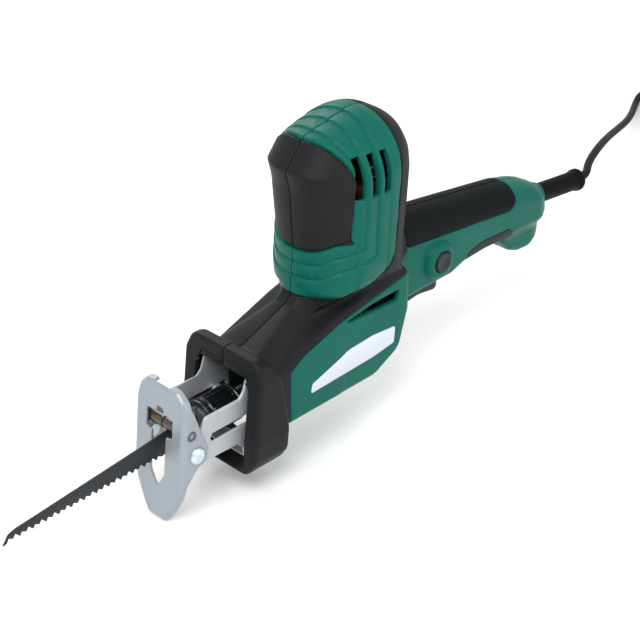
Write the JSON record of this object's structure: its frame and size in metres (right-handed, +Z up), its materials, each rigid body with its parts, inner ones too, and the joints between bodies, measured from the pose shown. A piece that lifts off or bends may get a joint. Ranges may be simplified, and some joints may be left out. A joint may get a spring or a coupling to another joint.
{
  "type": "reciprocating saw",
  "caption": "Corded reciprocating saw with an upright motor tower, straight rear handle, tilting shoe, toothed blade and mains lead.",
  "frame": {"origin": "on the resting plane, level with the lowest tip of the shoe, under the middle of the tool measured without its cord", "axes": "-Y points forwards along the blade, +Z up along the motor tower, +X to the left side of the tool, which carries the lock-on button"},
  "size_m": [0.2052, 0.9618, 0.2245],
  "materials": {
    "blade_steel": "black painted blade, bright tooth tips",
    "bracket_grey": "light grey satin powder coat",
    "brass": "plain brass and sintered bronze",
    "capacitor_film": "moulded film capacitor",
    "carbon": "pressed carbon",
    "clamp_black": "black oxide, oiled",
    "control_grey": "moulded plastic, fine grain",
    "copper": "enamelled copper",
    "cord_rubber": "matt rubber",
    "die_cast": "as die cast",
    "label_silver": "silver film label, satin",
    "laminations": "stacked electrical steel",
    "nylon_black": "moulded nylon",
    "pin_nickel": "nickel plated brass",
    "rubber_black": "matt soft-touch moulded rubber",
    "shell_green": "fine-grained moulded glass-filled nylon",
    "shoe_grey": "light grey satin powder coat",
    "steel": "ground and oiled steel",
    "strip_grey": "matt soft-touch rubber, slightly lighter",
    "tie_black": "plastic covered wire tie",
    "zinc": "bright zinc plated"
  },
  "bodies": {
    "tool": {"bracket_screws": "zinc", "brush_holders": "brass", "brush_springs": "steel", "cable_clamp": "nylon_black", "cable_sleeve": "cord_rubber", "capacitor": "capacitor_film", "carbon_brushes": "carbon", "coil_tie": "tie_black", "collar_left": "rubber_black", "collar_right": "rubber_black", "cord_coil": "cord_rubber", "cord_tube": "cord_rubber", "field_coils": "copper", "finger_strip_left": "strip_grey", "finger_strip_right": "strip_grey", "gear_bearing": "steel", "gear_case": "die_cast", "gear_case_cover": "die_cast", "handle_grip_left": "rubber_black", "handle_grip_right": "rubber_black", "housing_left": "shell_green", "housing_right": "shell_green", "housing_screws": "zinc", "label_left": "label_silver", "label_right": "label_silver", "lock_spring": "steel", "motor_bearings": "steel", "nose_skin_left": "rubber_black", "nose_skin_right": "rubber_black", "plug_body": "cord_rubber", "plug_pins": "pin_nickel", "plunger_bushes": "brass", "plunger_seal": "rubber_black", "stator_core": "laminations", "switch_body": "nylon_black", "tower_pad_left": "rubber_black", "tower_pad_right": "rubber_black", "trigger_spring": "steel"},
    "armature": {"motor_shaft": "steel", "rotor_core": "laminations", "rotor_windings": "copper", "commutator": "copper", "cooling_fan": "nylon_black", "pinion": "steel"},
    "crank_wheel": {"drive_gear": "steel", "gear_shaft": "steel", "crank_pin": "steel", "crank_roller": "steel"},
    "plunger_unit": {"plunger": "steel", "scotch_yoke": "steel", "blade_clamp": "clamp_black", "clamp_spring": "steel", "saw_blade": "blade_steel"},
    "clamp_ring": {"clamp_sleeve": "clamp_black"},
    "bracket": {"shoe_bracket": "bracket_grey", "pivot_rivets": "zinc"},
    "shoe": {"shoe": "shoe_grey", "guide_pin": "steel"},
    "trigger": {"trigger": "control_grey"},
    "lock_button": {"lock_button": "control_grey"}
  },
  "joints": [
    {"name": "motor_turn", "type": "hinge", "parent": "tool", "child": "armature", "pos_m": [0, 0.029, 0.15], "axis": [0, 0, 1], "continuous": true},
    {"name": "gear_turn", "type": "hinge", "parent": "tool", "child": "crank_wheel", "pos_m": [0, 0.001, 0.084], "axis": [0, 0, 1], "continuous": true},
    {"name": "plunger_stroke", "type": "slide", "parent": "tool", "child": "plunger_unit", "axis": [0, -1, 0], "range_m": [-0.01, 0.01]},
    {"name": "clamp_ring_turn", "type": "hinge", "parent": "plunger_unit", "child": "clamp_ring", "pos_m": [0, -0.085, 0.055], "axis": [0, 1, 0], "range_deg": [0, 60], "stiffness_Nm_per_rad": 0.05, "springref_deg": -17.19},
    {"name": "bracket_slide", "type": "slide", "parent": "tool", "child": "bracket", "axis": [0, 1, 0], "range_m": [0, 0.008]},
    {"name": "shoe_tilt", "type": "hinge", "parent": "bracket", "child": "shoe", "pos_m": [0, -0.1165, 0.0495], "axis": [1, 0, 0], "range_deg": [0, 15]},
    {"name": "trigger_press", "type": "slide", "parent": "tool", "child": "trigger", "axis": [0, 0, 1], "range_m": [0, 0.006], "stiffness_N_per_m": 700, "springref_m": -0.003, "deforming": ["trigger_spring"]},
    {"name": "lock_button_press", "type": "slide", "parent": "tool", "child": "lock_button", "axis": [-1, 0, 0], "range_m": [0, 0.003], "stiffness_N_per_m": 500, "springref_m": -0.002}
  ],
  "couplings": [
    {"joint": "gear_turn", "follows": "motor_turn", "ratio": -0.21739}
  ]
}
